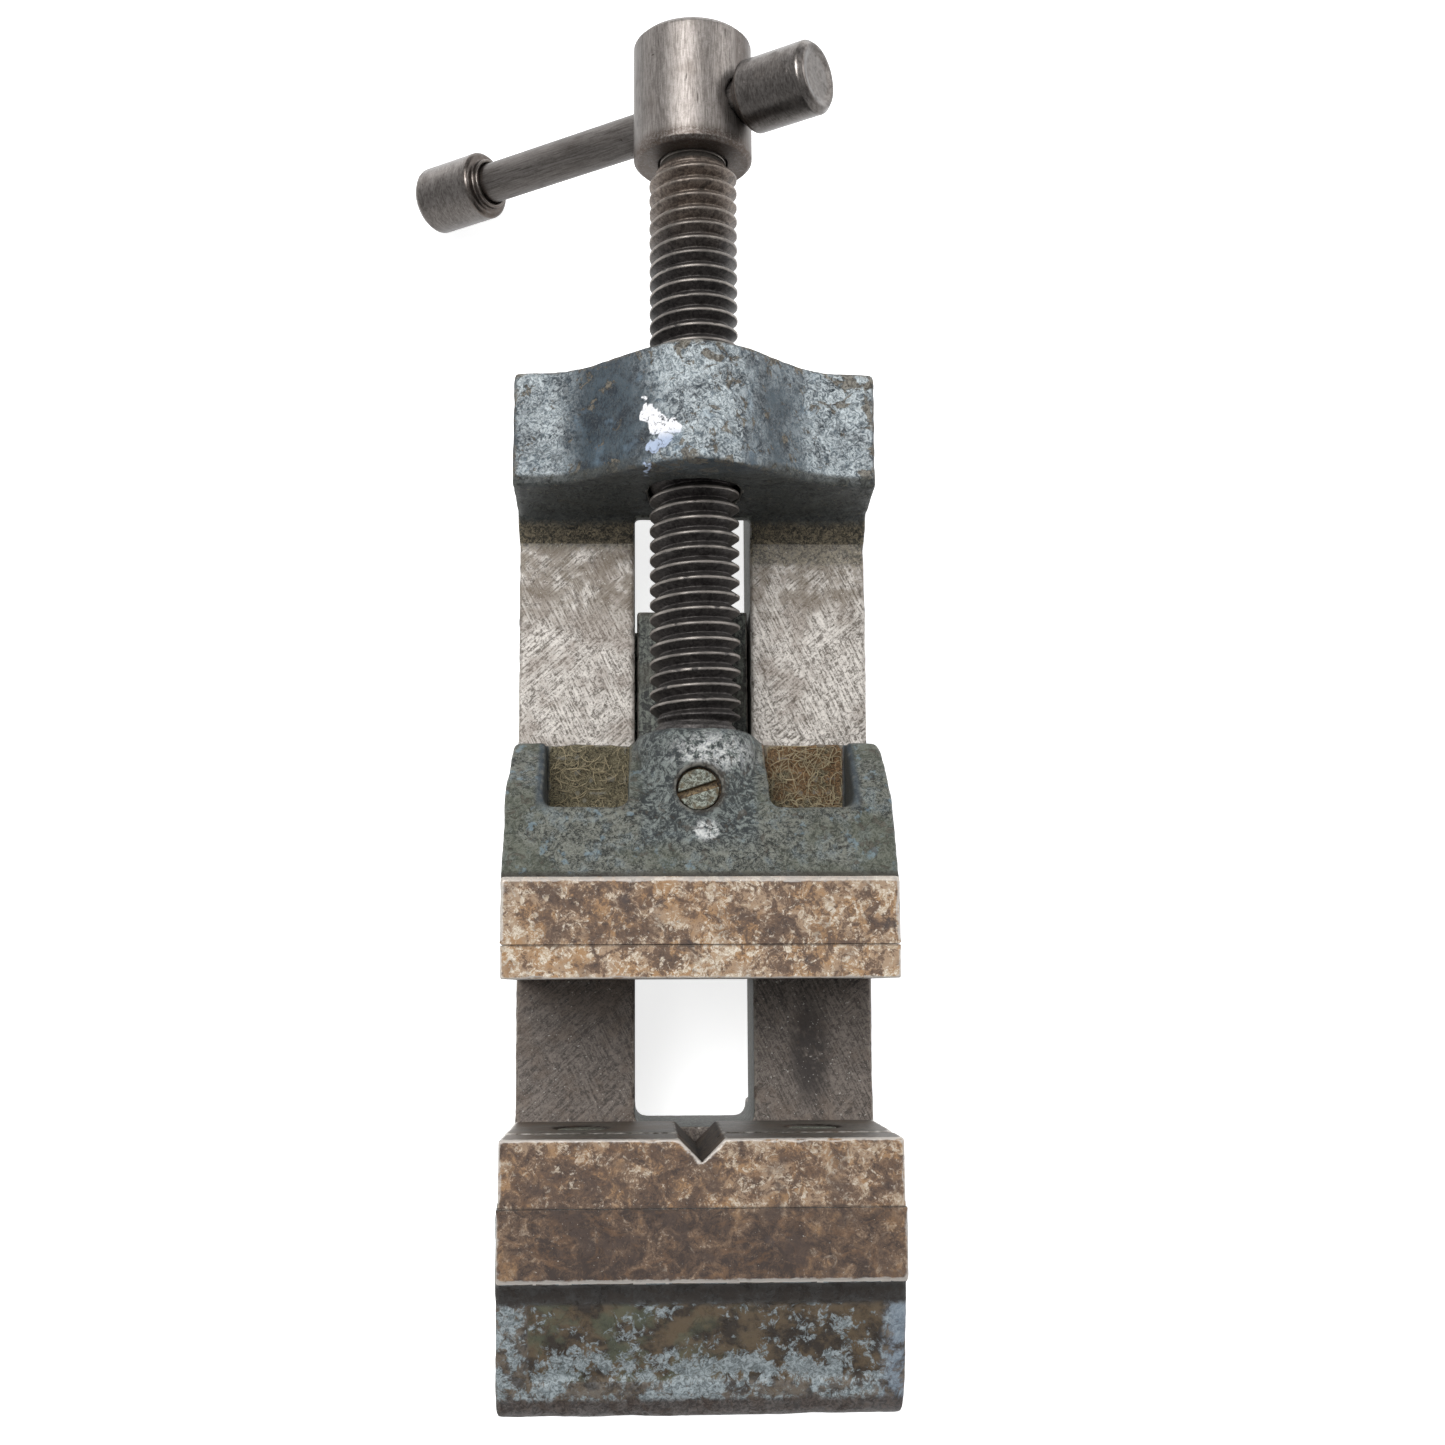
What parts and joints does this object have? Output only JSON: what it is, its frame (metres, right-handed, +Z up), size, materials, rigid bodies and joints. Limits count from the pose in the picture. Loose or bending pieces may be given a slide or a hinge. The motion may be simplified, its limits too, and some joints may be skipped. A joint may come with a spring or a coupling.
{
  "type": "bench vise",
  "caption": "Small machinist's bench or drill-press vise: cast base with slideways, sliding jaw, threaded spindle and sliding handle bar.",
  "frame": {"origin": "on the flat underside of the base, in the middle of its width, under the plane that seats the fixed jaw plate", "axes": "+Z up, +Y along the slideways from the fixed jaw towards the handle, +X to the right when looking along +Y"},
  "size_m": [0.0872, 0.2402, 0.0645],
  "materials": {
    "base_paint": "cast iron in worn blue-grey paint, rust-stained where machined",
    "jaw_paint": "cast iron in worn grey-green paint, rust-stained top",
    "jaw_plate": "ground steel with brown rust bloom",
    "fastener": "oily, dirty steel",
    "dark_steel": "oil-blackened thread with bright crests",
    "bright_steel": "turned bare steel, dulled by handling"
  },
  "bodies": {
    "base": {"base_casting": "base_paint", "fixed_jaw_plate": "jaw_plate", "fixed_jaw_screw_left": "fastener", "fixed_jaw_screw_right": "fastener"},
    "moving_jaw": {"moving_jaw_casting": "jaw_paint", "moving_jaw_plate": "jaw_plate", "moving_jaw_screw_left": "fastener", "moving_jaw_screw_right": "fastener", "thrust_pad": "bright_steel", "spindle_retaining_screw": "fastener", "keeper_plate": "jaw_plate", "keeper_screw_front": "fastener", "keeper_screw_rear": "fastener", "keeper_washer_front": "fastener", "keeper_washer_rear": "fastener"},
    "spindle": {"spindle_screw": "dark_steel", "spindle_head": "bright_steel"},
    "handle": {"tommy_bar": "bright_steel", "bar_cap_left": "bright_steel", "bar_cap_right": "bright_steel"}
  },
  "joints": [
    {"name": "jaw_slide", "type": "slide", "parent": "base", "child": "moving_jaw", "axis": [0, 1, 0], "range_m": [-0.0245, 0.036]},
    {"name": "spindle_turn", "type": "hinge", "parent": "moving_jaw", "child": "spindle", "pos_m": [0, 0.0664, 0.041], "axis": [0, 1, 0], "range_deg": [-3285, 4824]},
    {"name": "bar_slide", "type": "slide", "parent": "spindle", "child": "handle", "axis": [0.8191, 0, 0.5736], "range_m": [0, 0.0363]}
  ],
  "couplings": [
    {"joint": "jaw_slide", "follows": "spindle_turn", "m_per_rad": 0.00042494}
  ]
}
